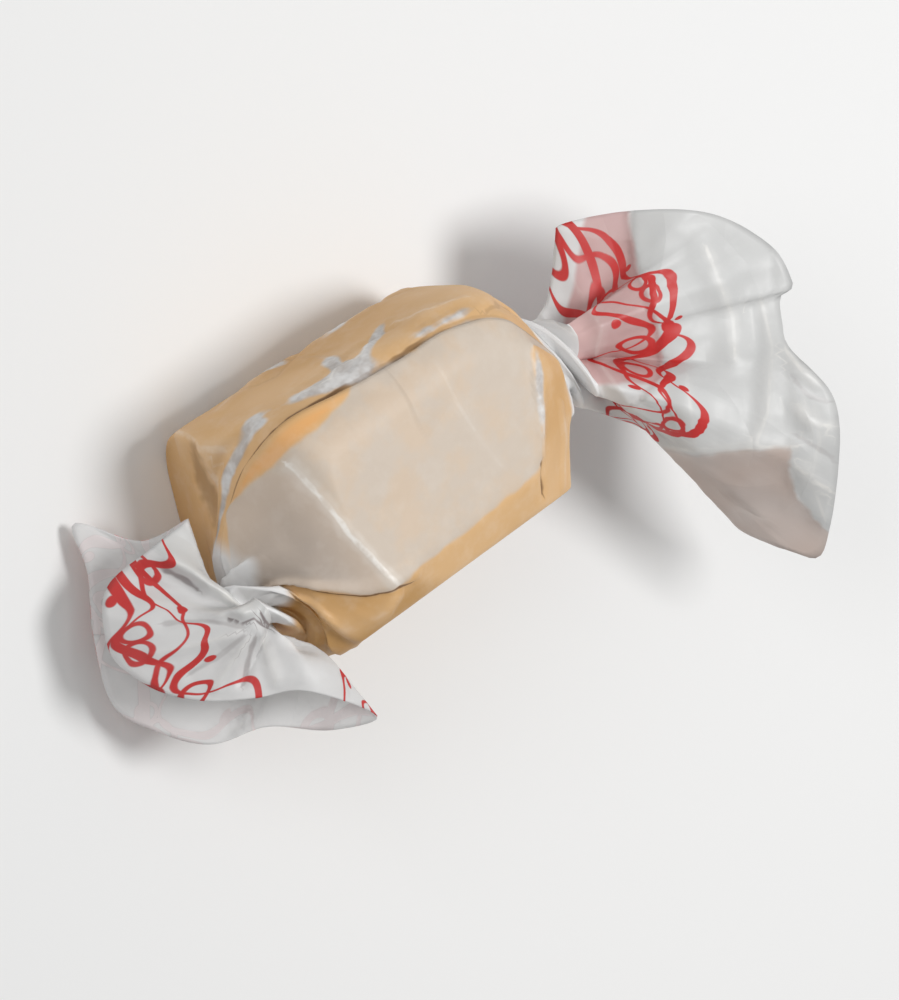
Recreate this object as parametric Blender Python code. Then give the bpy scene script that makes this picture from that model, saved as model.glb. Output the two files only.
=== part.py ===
# Salt water taffy: one cut of soft taffy rolled in a sheet of waxed paper, both ends twisted.
# Metres, +Z up. X runs along the roll of the paper, from one twist to the other. The sweet
# lies flat on a cut face, and the origin is on the ground under the middle of the sweet.

import math

import bpy
import numpy as np

mm = 0.001

# The cut of taffy, a thick squarish disc lying flat
taffyLength = 24.6 * mm
taffyWidth = 18.2 * mm
taffyHeight = 15.2 * mm
taffyRoundPower = 3.6  # of the outline across: 2 is an ellipse, more is squarer
taffyEndPower = 4.6  # of the outline along
taffyShift = -0.7 * mm  # the left end is the longer one
taffyLean = 1.8 * mm  # and its top is cut back by this much
taffyRings = 20
taffySides = 32
outlineSteps = 720  # for the length round an outline

# The sheet of waxed paper round it
paperThickness = 0.2 * mm
paperGap = 0.35 * mm
restFlat = 0.12 * mm  # the ground presses the roll flat by this much
paperSides = 48

# The roll, from the left throat to the right one. Each row is one cross-section: its centre
# (x, y, height over the middle of the sweet), its share of the roll's half width and half
# height, the squareness of its outline, its turn about the axis in degrees, how deep it is
# pleated, and how far its top leans towards +X. Lengths are in millimetres.
rollStations = (
    (-16.6, -4.0, 0.9, 0.350, 0.390, 2.0, -175, 0.22, 0.0),
    (-15.8, -3.5, 0.8, 0.320, 0.360, 2.0, -120, 0.24, 0.1),
    (-15.0, -2.9, 0.6, 0.390, 0.430, 2.0, -65, 0.30, 0.4),
    (-14.2, -2.0, 0.4, 0.590, 0.620, 2.6, -28, 0.40, 1.0),
    (-13.2, -1.0, 0.1, 0.840, 0.860, 3.6, -8, 0.30, 1.7),
    (-11.7, -0.1, 0.0, 0.970, 0.985, 4.3, 0, 0.08, 2.0),
    (-6.5, 0.0, 0.0, 1.000, 1.000, 4.2, 0, 0.0, 0.6),
    (0.0, 0.1, 0.0, 1.005, 1.000, 4.0, 0, 0.0, 0.0),
    (5.6, 0.0, 0.0, 0.995, 1.000, 4.0, 0, 0.0, 0.0),
    (10.3, -0.4, 0.0, 0.925, 0.970, 3.5, 0, 0.08, 0.0),
    (12.2, -0.6, 0.4, 0.750, 0.800, 3.0, 8, 0.30, 0.0),
    (13.5, -0.6, 1.2, 0.520, 0.560, 2.4, 28, 0.40, 0.0),
    (14.5, -0.7, 1.8, 0.400, 0.440, 2.0, 65, 0.30, 0.0),
    (15.4, -0.9, 2.1, 0.350, 0.390, 2.0, 120, 0.24, 0.0),
    (16.3, -1.1, 2.3, 0.370, 0.410, 2.0, 175, 0.22, 0.0),
)
ringsBetweenStations = 2
squareAbove = 0.625  # share of the half width above which the roll stays square to X
# Broad and narrow pleats: how many go round, where they start, and their share of the depth
pleats = ((7, 0.15, 0.65), (11, 0.40, 0.35))

# Each twist ends in a fan of two layers, joined at two folds. Its rim runs from the upper
# fold along the front layer to the lower fold, and back along the rear layer. Each point is
# an angle in degrees and a reach in millimetres from the throat, in the plane that the fans
# lie in, and a lift off that plane.
leftFront = (
    (122, 9.0, 1.0),
    (145, 9.3, 2.3),
    (167, 11.0, 2.7),
    (190, 10.7, 2.9),
    (205, 9.8, 2.9),
    (220, 8.6, 2.7),
    (240, 6.6, 2.5),
    (272, 5.5, 2.3),
    (312, 6.4, 1.8),
    (323, 11.2, 0.6),
)
leftRear = (
    (305, 9.5, -0.7),
    (277, 7.6, -1.4),
    (250, 9.4, -1.6),
    (227, 10.7, -1.4),
    (210, 11.9, -0.9),
    (187, 11.7, -0.3),
    (163, 12.7, 0.0),
    (151, 15.0, 0.4),
    (144, 10.2, 0.1),
)
leftFold = -22  # degrees round the throat at which the upper fold leaves it
rightFront = (
    (94, 9.9, 0.0),
    (68, 11.9, -0.6),
    (46, 15.2, -2.4),
    (30, 17.5, -4.4),
    (18, 17.6, -5.2),
    (11, 16.3, -4.7),
    (-6, 19.6, -4.6),
    (-13, 20.8, -3.9),
    (-22, 21.7, -5.2),
    (-31, 23.0, -6.6),
    (-38, 23.5, -7.6),
    (-44, 17.6, -7.4),
)
rightRear = (
    (-36, 15.8, -9.0),
    (-17, 15.3, -9.6),
    (9, 13.2, -8.6),
    (45, 11.6, -5.4),
    (77, 9.3, -2.0),
)
rightFold = -14
rimStep = 0.05  # of the way between two points of a rim, for its length
fanRings = 12
fanRuffle = 0.35 * mm
ruffleTurn = 0.85 * math.pi  # the ruffle rises and falls over this much of a wave
throatRun = 3.0 * mm  # how far the paper runs straight out of a throat before it spreads
leastRun = 0.1  # share of that run which the paper that turns back keeps
throatFlare = 1.3

# The right fan's lower part turns away below a crease: the crease's points (to the right, up)
# in millimetres from the throat, in the fans' plane, and how steeply and softly it turns
rightCrease = ((0.0, -3.0), (4.0, -5.8), (9.5, -7.0), (12.0, -6.7), (16.7, -6.4), (20.5, -5.2))
rightCreaseSlope = 0.5
creaseSoftness = 0.3 * mm

# The plane of the fans leans against the roll: its normal is this far off square to X, and
# off the upright round X, and the angles above are counted from this far below the roll.
planeToRoll = math.radians(30)
planeToUpright = math.radians(22)
planeTurn = math.radians(36)

taffyColour = (0.56, 0.33, 0.13, 1.0)
paperColour = (0.86, 0.86, 0.85, 1.0)


def clearObjects():
    for item in list(bpy.data.objects):
        bpy.data.objects.remove(item, do_unlink=True)


def plainMaterial(name, colour, roughness):
    material = bpy.data.materials.new(name)
    material.use_nodes = True
    shader = material.node_tree.nodes["Principled BSDF"]
    shader.inputs["Base Color"].default_value = colour
    shader.inputs["Roughness"].default_value = roughness
    shader.inputs["Metallic"].default_value = 0.0
    return material


def addObject(name, points, faces, material):
    mesh = bpy.data.meshes.new(name)
    mesh.from_pydata([tuple(p) for p in points], [], faces)
    mesh.materials.append(material)
    mesh.validate()
    mesh.shade_smooth()
    piece = bpy.data.objects.new(name, mesh)
    bpy.context.scene.collection.objects.link(piece)
    return piece


def tubeFaces(ringCount, sides):
    # Faces between rings that follow each other along +X and run from +Y towards +Z
    faces = []
    for ring in range(ringCount - 1):
        near, far = ring * sides, (ring + 1) * sides
        for side in range(sides):
            beside = (side + 1) % sides
            faces.append((near + side, near + beside, far + beside, far + side))
    return faces


def signedPower(value, power):
    return np.sign(value) * np.abs(value) ** power


def smoothRow(rows, at):
    # Rows read at fractional places, each column eased between its neighbours
    rows = np.asarray(rows, float)
    last = len(rows) - 1
    low = np.clip(np.floor(at).astype(int), 0, last - 1)
    part = (at - low)[:, None]
    before = rows[np.clip(low - 1, 0, last)]
    start, end = rows[low], rows[low + 1]
    after = rows[np.clip(low + 2, 0, last)]
    leave = (end - before) / 2
    arrive = (after - start) / 2
    return (
        start * (2 * part**3 - 3 * part**2 + 1)
        + end * (3 * part**2 - 2 * part**3)
        + leave * (part**3 - 2 * part**2 + part)
        + arrive * (part**3 - part**2)
    )


def outlineAt(share, power, halfWidth, halfHeight):
    # Points of a squarish oval at shares of its length round, from +Y towards +Z
    angle = np.linspace(0, 2 * math.pi, outlineSteps + 1)
    across = halfWidth * signedPower(np.cos(angle), 2 / power)
    upward = halfHeight * signedPower(np.sin(angle), 2 / power)
    steps = np.hypot(np.diff(across), np.diff(upward))
    length = np.concatenate([[0], np.cumsum(steps)])
    wanted = (share % 1.0) * length[-1]
    return np.interp(wanted, length, across), np.interp(wanted, length, upward)


def unit(vector):
    return vector / np.linalg.norm(vector)


def fanPlane():
    # The fans' plane as three directions: to the right in it, up in it, and off it
    lean = math.cos(planeToRoll)
    off = np.array(
        (
            -math.sin(planeToRoll),
            lean * math.sin(planeToUpright),
            lean * math.cos(planeToUpright),
        )
    )
    roll = np.array((1.0, 0.0, 0.0))
    along = unit(roll - np.dot(roll, off) * off)
    across = np.cross(off, along)
    right = math.cos(planeTurn) * along - math.sin(planeTurn) * across
    up = math.sin(planeTurn) * along + math.cos(planeTurn) * across
    return right, up, off


def rimPoints(throat, front, rear):
    right, up, off = fanPlane()
    points = []
    for angle, reach, lift in front + rear:
        turn = math.radians(angle)
        spread = reach * (math.cos(turn) * right + math.sin(turn) * up)
        points.append(throat + (spread + lift * off) * mm)
    return np.array(points)


def rimAt(share, points, frontCount):
    # The rim as one smooth loop: share 0 is the upper fold and 0.5 is the lower one
    count = len(points)
    fine = np.arange(0, count, rimStep)
    low = np.floor(fine).astype(int)
    part = (fine - low)[:, None]
    before, start = points[(low - 1) % count], points[low % count]
    end, after = points[(low + 1) % count], points[(low + 2) % count]
    loop = 0.5 * (
        2 * start
        + (end - before) * part
        + (2 * before - 5 * start + 4 * end - after) * part**2
        + (3 * start - before - 3 * end + after) * part**3
    )
    closed = np.vstack([loop, loop[:1]])
    steps = np.linalg.norm(np.diff(closed, axis=0), axis=1)
    length = np.concatenate([[0], np.cumsum(steps)])
    fold = length[np.searchsorted(fine, frontCount - 1)]
    share = share % 1.0
    onFront = share * 2 * fold
    onRear = fold + (share * 2 - 1) * (length[-1] - fold)
    wanted = np.where(share < 0.5, onFront, onRear)
    return np.stack([np.interp(wanted, length, closed[:, axis]) for axis in range(3)], axis=1)


def pleatWave(share):
    wave = 0
    for count, start, weight in pleats:
        wave = wave + weight * np.sin(2 * math.pi * (count * share + start))
    return wave


def rollRings():
    # The roll from throat to throat, with the direction of the path at each ring
    halfWidth = taffyWidth / 2 + paperGap + paperThickness
    halfHeight = taffyHeight / 2 + paperGap + paperThickness
    count = (len(rollStations) - 1) * ringsBetweenStations + 1
    rows = smoothRow(rollStations, np.linspace(0, len(rollStations) - 1, count))
    centres = rows[:, :3] * mm
    centres[:, 2] += halfHeight - restFlat
    tangents = np.gradient(centres, axis=0)
    around = np.arange(paperSides) / paperSides
    rings, directions = [], []
    for row, centre, tangent in zip(rows, centres, tangents):
        width, height, power, turn, pleat, lean = row[3:]
        across, upward = outlineAt(
            around + turn / 360, power, halfWidth * width, halfHeight * height
        )
        size = np.hypot(across, upward)
        grown = 1 + pleat * mm * pleatWave(around) / size
        bent = max(0.0, 1 - width / squareAbove)  # only the necks follow the path's direction
        forward = unit((1 - bent) * np.array((1.0, 0.0, 0.0)) + bent * unit(tangent))
        side = unit(np.cross(np.array((0.0, 0.0, 1.0)), forward))
        top = np.cross(forward, side)
        ring = centre + np.outer(across * grown, side) + np.outer(upward * grown, top)
        ring[:, 0] += lean * mm * upward / halfHeight
        ring[:, 2] = np.maximum(ring[:, 2], 0.0)
        rings.append(ring)
        directions.append(forward)
    return rings, directions


def turnedAway(points, slope):
    # How far the paper below the right fan's crease turns away, by its place from the throat
    right, up, off = fanPlane()
    crease = np.array(rightCrease) * mm
    below = np.interp(points @ right, crease[:, 0], crease[:, 1]) - points @ up
    return slope * (below + np.sqrt(below**2 + creaseSoftness**2)) / 2


def fanRingsFrom(ring, outward, turn, foldAngle, front, rear, slope):
    # A fan from its throat to its rim: straight out, then spread, with pleats that fade
    throat = ring.mean(axis=0)
    around = np.arange(paperSides) / paperSides
    share = around + (turn - foldAngle) / 360
    rim = rimAt(share, rimPoints(throat, front, rear), len(front))
    reach = rim - ring
    ahead = (reach @ outward) / np.linalg.norm(reach, axis=1)
    run = throatRun * np.clip(ahead, leastRun, 1.0)
    control = throat + np.outer(run, outward) + throatFlare * (ring - throat)
    off = fanPlane()[2]
    rings = []
    for step in range(1, fanRings + 1):
        part = step / fanRings
        spread = (1 - part) ** 2 * ring + 2 * part * (1 - part) * control + part**2 * rim
        ruffle = fanRuffle * math.sin(ruffleTurn * part) * pleatWave(around)
        rings.append(spread + np.outer(ruffle - turnedAway(spread - throat, slope), off))
    return rings


def buildWrapper(material):
    rings, directions = rollRings()
    leftTurn, rightTurn = rollStations[0][6], rollStations[-1][6]
    leftFan = fanRingsFrom(
        rings[0], -directions[0], leftTurn, leftFold, leftFront, leftRear, 0.0
    )
    rightFan = fanRingsFrom(
        rings[-1], directions[-1], rightTurn, rightFold, rightFront, rightRear, rightCreaseSlope
    )
    rings = leftFan[::-1] + rings + rightFan
    faces = tubeFaces(len(rings), paperSides)
    wrapper = addObject("wrapper", np.vstack(rings), faces, material)
    thick = wrapper.modifiers.new("paper thickness", "SOLIDIFY")
    thick.thickness = paperThickness
    thick.offset = -1
    return wrapper


def buildTaffy(material):
    middle = taffyHeight / 2 + paperGap + paperThickness
    around = np.arange(taffySides) / taffySides
    across, upward = outlineAt(around, taffyRoundPower, taffyWidth / 2, taffyHeight / 2)
    points = []
    for ring in range(1, taffyRings):
        angle = math.pi * (ring / taffyRings - 0.5)
        along = signedPower(math.sin(angle), 2 / taffyEndPower)
        shrink = math.cos(angle) ** (2 / taffyEndPower)
        lean = taffyLean * min(along, 0.0) ** 2 / (taffyHeight / 2)
        for y, z in zip(across * shrink, upward * shrink):
            points.append((along * taffyLength / 2 + taffyShift + lean * z, y, middle + z))
    faces = tubeFaces(taffyRings - 1, taffySides)
    lastRing = (taffyRings - 2) * taffySides
    for end, start, order in ((-1, 0, -1), (1, lastRing, 1)):
        pole = len(points)
        points.append((end * taffyLength / 2 + taffyShift, 0.0, middle))
        for side in range(taffySides):
            beside = (side + 1) % taffySides
            faces.append((start + side, start + beside, pole)[::order])
    return addObject("taffy", points, faces, material)


def main():
    clearObjects()
    buildTaffy(plainMaterial("taffy", taffyColour, 0.45))
    buildWrapper(plainMaterial("waxed paper", paperColour, 0.4))


main()
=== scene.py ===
import math
import random

import bpy
import numpy as np
from mathutils import Matrix, Vector


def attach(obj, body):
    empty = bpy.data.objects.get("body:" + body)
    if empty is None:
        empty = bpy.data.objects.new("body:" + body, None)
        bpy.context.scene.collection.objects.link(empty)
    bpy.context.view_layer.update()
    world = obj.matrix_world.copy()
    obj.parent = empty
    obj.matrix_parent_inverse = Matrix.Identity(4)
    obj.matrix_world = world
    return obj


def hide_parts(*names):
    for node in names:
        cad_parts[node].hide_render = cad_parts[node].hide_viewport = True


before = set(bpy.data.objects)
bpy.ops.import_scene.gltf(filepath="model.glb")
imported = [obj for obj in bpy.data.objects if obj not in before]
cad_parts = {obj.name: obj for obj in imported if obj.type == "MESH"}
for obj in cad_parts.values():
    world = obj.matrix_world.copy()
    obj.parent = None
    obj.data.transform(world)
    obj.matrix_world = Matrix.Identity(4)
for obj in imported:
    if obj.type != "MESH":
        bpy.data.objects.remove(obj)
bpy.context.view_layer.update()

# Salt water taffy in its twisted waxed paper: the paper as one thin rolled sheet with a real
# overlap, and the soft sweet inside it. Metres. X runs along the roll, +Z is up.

mm = 0.001

# The sweet's size and the roll's cross-sections, as in the CAD model
sweet = {
    "length": 24.6 * mm,
    "width": 18.2 * mm,
    "height": 15.2 * mm,
    "paperGap": 0.35 * mm,
    "cadPaper": 0.2 * mm,
    "restFlat": 0.12 * mm,
    "roundPower": 3.6,
    "endPower": 4.6,
    "shift": -0.7 * mm,
    "lean": 1.8 * mm,
}
halfWidth = sweet["width"] / 2 + sweet["paperGap"] + sweet["cadPaper"]
halfHeight = sweet["height"] / 2 + sweet["paperGap"] + sweet["cadPaper"]
middleHeight = halfHeight - sweet["restFlat"]
# How finely a cross-section, the whole roll and the rims are traced: points, points and steps
outlineCount, rollCount, rimStep = 1441, 1400, 0.05

# One cross-section a row: centre (x, y, height over the sweet's middle), shares of the half
# width and half height, squareness, turn in degrees, and how far its top leans towards +X.
# Lengths are in millimetres.
rollStations = (
    (-16.6, -4.0, 0.9, 0.35, 0.39, 2.0, -175, 0.0),
    (-15.8, -3.5, 0.8, 0.32, 0.36, 2.0, -120, 0.1),
    (-15.0, -2.9, 0.6, 0.39, 0.43, 2.0, -65, 0.4),
    (-14.2, -2.0, 0.4, 0.59, 0.62, 2.6, -28, 1.0),
    (-13.2, -1.0, 0.1, 0.84, 0.86, 3.6, -8, 1.7),
    (-11.7, -0.1, 0.0, 0.97, 0.985, 4.3, 0, 2.0),
    (-6.5, 0.0, 0.0, 1.0, 1.0, 4.2, 0, 0.6),
    (0.0, 0.1, 0.0, 1.005, 1.0, 4.0, 0, 0.0),
    (5.6, 0.0, 0.0, 0.995, 1.0, 4.0, 0, 0.0),
    (10.3, -0.4, 0.0, 0.925, 0.97, 3.5, 0, 0.0),
    (12.2, -0.6, 0.4, 0.75, 0.8, 3.0, 8, 0.0),
    (13.5, -0.6, 1.2, 0.52, 0.56, 2.4, 28, 0.0),
    (14.5, -0.7, 1.8, 0.4, 0.44, 2.0, 65, 0.0),
    (15.4, -0.9, 2.1, 0.35, 0.39, 2.0, 120, 0.0),
    (16.3, -1.1, 2.3, 0.37, 0.41, 2.0, 175, 0.0),
)

# The rims of the fans: an angle in degrees and a reach in mm from the throat, in the plane
# that the fans lie in, and a lift off that plane
leftFront = (
    (122, 9.0, 1.0), (145, 9.3, 2.3), (167, 11.0, 2.7), (190, 10.7, 2.9), (205, 9.4, 2.9),
    (220, 8.0, 2.7), (240, 6.5, 2.5), (272, 5.4, 2.3), (308, 6.2, 1.8), (323, 11.2, 0.6),
)
leftRear = (
    (305, 9.5, -0.7), (277, 7.6, -1.4), (250, 9.4, -1.6), (227, 10.7, -1.4), (210, 11.9, -0.9),
    (187, 11.7, -0.3), (163, 12.7, 0.0), (151, 15.0, 0.4), (144, 10.2, 0.1),
)
rightFront = (
    (94, 9.9, 0.0), (68, 11.9, -0.6), (46, 15.2, -2.4), (30, 17.4, -4.4), (20, 17.8, -5.2),
    (17.5, 17.5, -5.1), (16.5, 16.6, -4.9), (10, 16.3, -4.7), (3.5, 16.6, -4.6),
    (-6, 19.6, -4.5), (-13, 20.8, -4.2), (-22, 21.8, -5.2), (-31, 23.1, -6.6),
    (-37, 23.9, -7.6), (-39.5, 22.4, -7.6), (-44, 17.6, -7.4),
)
rightRear = (
    (-36, 15.8, -9.0), (-17, 15.3, -9.6), (9, 13.2, -8.6), (45, 11.6, -5.4), (77, 9.3, -2.0),
)
fans = {
    "leftFold": -22,
    "rightFold": -14,
    "throatRun": 3.0 * mm,
    "leastRun": 0.1,
    "throatFlare": 1.3,
    "bow": 1.9,  # mm that the left fan's lower fold bows out, the way that it faces
    "bowWay": (0.61, 0.79),
    "bowSpread": 0.09,
    "planeToRoll": math.radians(30),
    "planeToUpright": math.radians(22),
    "planeTurn": math.radians(36),
}

# The sheet: its grid, its two free edges and its overlap
sheet = {
    "columns": 220,
    "leftRows": 36,
    "rollRows": 112,
    "rightRows": 48,
    "flatWidth": 76 * mm,
    "throatAt": 25 * mm,  # from the middle of the flat sheet to where it is twisted
    "thickness": 0.06 * mm,
    "layerGap": 0.17 * mm,
    "climb": 0.06,  # share of the sheet over which it climbs on its own inner edge
    "lipWidth": 0.016,
    "lipLift": 0.3 * mm,  # at most, by its place along the roll
    "swell": 1.025,  # the roll is made this much fuller, and the flats below cut it back
    "girth": 62.0,  # mm round the roll, where a share is read as a length
    "twistAt": 15.9,  # mm along the roll, for the middle of each twist
    "twistRun": 0.9,
    "twistDepth": 3.1,
    "twistSteep": 1.4,  # how sharply the neck's folds part into gathered and loose ones
    "twistOff": 0.2,
    "turnsSquare": 1.6,  # the narrower a neck's row, the squarer it lies to the neck's run
    "endRelief": 0.85,
    "neckRelief": 0.26,
    "lowest": 0.02 * mm,
    "lipEnds": 0.05,  # where the lip's lift and the creases end in the fans, by the way out
    "creasesEnd": 0.02,
}
# Where each part of the roll begins and is full, by the share of the half width
rollParts = {
    "body": (0.6, 0.95),
    "neckEnds": (0.33, 0.62),
    "endStarts": (0.3, 0.62),
    "endStops": (0.8, 0.99),
    "drawnTight": (0.42, 0.6),
}
# How much of the lip's lift it has, by place along the roll in mm
lipPlaces = ((-14.5, 0.3), (-11.5, 1.0), (-6.0, 0.9), (-3.5, 0.3), (0.0, 0.2), (4.0, 0.15))
# How close the rows of the roll lie, by place along it in mm
rowCloseness = ((-16.6, 1.0), (-12.6, 1.2), (-11.8, 2.3), (-7.6, 2.3), (-6.4, 0.7), (5.8, 0.7),
                (7.4, 1.3), (11.6, 1.3), (16.3, 1.0))

# Where the outer and the inner free edge run round the roll, by place along it in mm
edgePlaces = (
    (-16.6, 0.195, 0.225), (-15.2, 0.12, 0.27), (-14.2, 0.08, 0.305), (-13.4, 0.082, 0.32),
    (-12.2, 0.09, 0.328), (-9.7, 0.096, 0.331), (-6.5, 0.105, 0.33), (-3.3, 0.111, 0.329),
    (0.5, 0.116, 0.327), (4.5, 0.117, 0.322), (8.1, 0.128, 0.318), (12.5, 0.16, 0.29),
    (14.5, 0.19, 0.24), (16.3, 0.2, 0.23),
)
# The outer layer still clings beside its edge: shares round the roll, by place along it
wedgePlaces = ((-14.3, -0.006), (-13.6, 0.014), (-12.1, 0.03), (-8.9, 0.023), (-5.0, 0.006),
               (-4.2, -0.003))
# The near end's pale panel reaches lower: a share round the roll, by place along it
panelLow = ((-15.0, 0.342), (-14.0, 0.35), (-13.1, 0.341), (-11.3, 0.331), (-9.9, 0.326),
            (-8.6, 0.32))
# At the far end the outer layer clings again, past this place along the roll, by share round
farPlaces = ((0.165, 14.0), (0.178, 10.6), (0.189, 10.0), (0.249, 9.0), (0.313, 7.3),
             (0.362, 6.6))

# Flats that the paper is drawn tight over: the way each faces (turn and rise in degrees), its
# distance from the middle of the sweet in mm, and how round its edges are
flats = (
    (0, 90, 8.14, 0.03),
    (-166, 55, 12.3, 0.02),
    (-90, 65, 9.45, 0.16),
    (90, 44, 11.05, 0.2),
    (90, 0, 9.68, 0.2),
    (86, -22, 10.0, 0.25),
    (-90, 22, 9.75, 0.25),
    (-36, 58, 11.0, 0.05),
    (148, 18, 15.2, 0.15),
    (168, -12, 14.9, 0.2),
    (-120, 12, 14.5, 0.2),
    (-20, 10, 14.0, 0.2),
    (25, 40, 13.6, 0.2),
    (-60, -20, 12.6, 0.2),
)

# Folds of the end faces, at shares round the roll: a ridge or a valley in mm
nearFolds = (
    (0.02, -0.3), (0.09, 0.45), (0.16, -0.1), (0.3, 0.15), (0.395, 0.1), (0.43, -0.75),
    (0.475, 0.55), (0.53, -0.25), (0.6, 0.8), (0.645, -0.7), (0.7, 0.45), (0.77, -0.45),
    (0.84, 0.5), (0.9, -0.5), (0.955, 0.45),
)
farFolds = (
    (0.03, 0.45), (0.1, -0.35), (0.17, 0.3), (0.25, -0.2), (0.33, 0.35), (0.385, -0.45),
    (0.45, 0.5), (0.51, -0.5), (0.58, 0.45), (0.65, -0.4), (0.72, 0.5), (0.79, -0.45),
    (0.86, 0.4), (0.93, -0.4),
)


def signedPower(value, power):
    return np.sign(value) * np.abs(value) ** power


def softPart(value, softness):
    # The positive part of a value, with its corner eased over the softness
    return 0.5 * (value + np.sqrt(value**2 + softness**2))


def easeStep(value, start, end):
    part = np.clip((value - start) / (end - start), 0, 1)
    return part * part * (3 - 2 * part)


def unit(vector):
    return vector / np.linalg.norm(vector)


def lengthAlong(steps):
    return np.concatenate([[0], np.cumsum(steps)])


def readAt(table, at, column=1, right=None):
    # A column of a table, read at places along its first one
    rows = np.array(table)
    return np.interp(at, rows[:, 0], rows[:, column], right=right)


def maskOf(inside, spread=3.0):
    # 0.5 at a border, and 1 or 0 at half the spread in mm to either side of it
    return np.clip(0.5 + inside / spread, 0, 1)


def aroundFrom(share, start):
    # A share round the roll counted from a start, between -0.5 and 0.5
    return (share - start + 0.5) % 1.0 - 0.5


def newMesh(name, points, faces):
    mesh = bpy.data.meshes.new(name)
    mesh.from_pydata(points, [], faces)
    return mesh


def addObject(name, data):
    made = bpy.data.objects.new(name, data)
    bpy.context.scene.collection.objects.link(made)
    return made


def smoothRow(rows, at):
    # Rows read at fractional places, each column eased between its neighbours
    rows = np.asarray(rows, float)
    last = len(rows) - 1
    low = np.clip(np.floor(at).astype(int), 0, last - 1)
    part = (at - low)[:, None]
    before, start = rows[np.clip(low - 1, 0, last)], rows[low]
    end, after = rows[low + 1], rows[np.clip(low + 2, 0, last)]
    leave, arrive = (end - before) / 2, (after - start) / 2
    return (
        start * (2 * part**3 - 3 * part**2 + 1)
        + end * (3 * part**2 - 2 * part**3)
        + leave * (part**3 - 2 * part**2 + part)
        + arrive * (part**3 - part**2)
    )


def outlineAt(share, power, width, height):
    # Points of a squarish oval at shares of its length round, from +Y towards +Z
    angle = np.linspace(0, 2 * math.pi, outlineCount)
    across = width * signedPower(np.cos(angle), 2 / power)
    upward = height * signedPower(np.sin(angle), 2 / power)
    length = lengthAlong(np.hypot(np.diff(across), np.diff(upward)))
    wanted = (share % 1.0) * length[-1]
    return np.interp(wanted, length, across), np.interp(wanted, length, upward)


def fanPlane():
    # The fans' plane as three directions: to the right in it, up in it, and off it
    lean = math.cos(fans["planeToRoll"])
    off = np.array((
        -math.sin(fans["planeToRoll"]),
        lean * math.sin(fans["planeToUpright"]),
        lean * math.cos(fans["planeToUpright"]),
    ))
    roll = np.array((1.0, 0.0, 0.0))
    along = unit(roll - np.dot(roll, off) * off)
    across = np.cross(off, along)
    turn = fans["planeTurn"]
    right = math.cos(turn) * along - math.sin(turn) * across
    up = math.sin(turn) * along + math.cos(turn) * across
    return right, up, off


planeRight, planeUp, planeOff = fanPlane()


def rimPoints(throat, front, rear):
    points = []
    for angle, reach, lift in front + rear:
        turn = math.radians(angle)
        spread = reach * (math.cos(turn) * planeRight + math.sin(turn) * planeUp)
        points.append(throat + (spread + lift * planeOff) * mm)
    return np.array(points)


def rimAt(share, points, frontCount):
    # The rim as one smooth loop: share 0 is the upper fold and 0.5 is the lower one
    count = len(points)
    fine = np.arange(0, count, rimStep)
    low = np.floor(fine).astype(int)
    part = (fine - low)[:, None]
    before, start = points[(low - 1) % count], points[low % count]
    end, after = points[(low + 1) % count], points[(low + 2) % count]
    loop = 0.5 * (
        2 * start
        + (end - before) * part
        + (2 * before - 5 * start + 4 * end - after) * part**2
        + (3 * start - before - 3 * end + after) * part**3
    )
    closed = np.vstack([loop, loop[:1]])
    length = lengthAlong(np.linalg.norm(np.diff(closed, axis=0), axis=1))
    fold = length[np.searchsorted(fine, frontCount - 1)]
    share = share % 1.0
    onFront = share * 2 * fold
    onRear = fold + (share * 2 - 1) * (length[-1] - fold)
    wanted = np.where(share < 0.5, onFront, onRear)
    return np.stack([np.interp(wanted, length, closed[:, axis]) for axis in range(3)], axis=1)


def foldWave(share, folds):
    # A crisp zigzag round the roll through the folds, in mm
    first, last = folds[0], folds[-1]
    return readAt([(last[0] - 1, last[1]), *folds, (first[0] + 1, first[1])], share % 1.0)


def fineFolds(count, depth, seed):
    draw = random.Random(seed)
    folds = []
    for number in range(count):
        place = (number + 0.25 + 0.5 * draw.random()) / count
        folds.append((place, depth * (0.5 + draw.random()) * (-1) ** number))
    return folds


neckFolds = fineFolds(10, 1.0, 11)
gatherFolds = fineFolds(15, 1.0, 23)
fanFolds = fineFolds(22, 1.0, 4)

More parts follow.
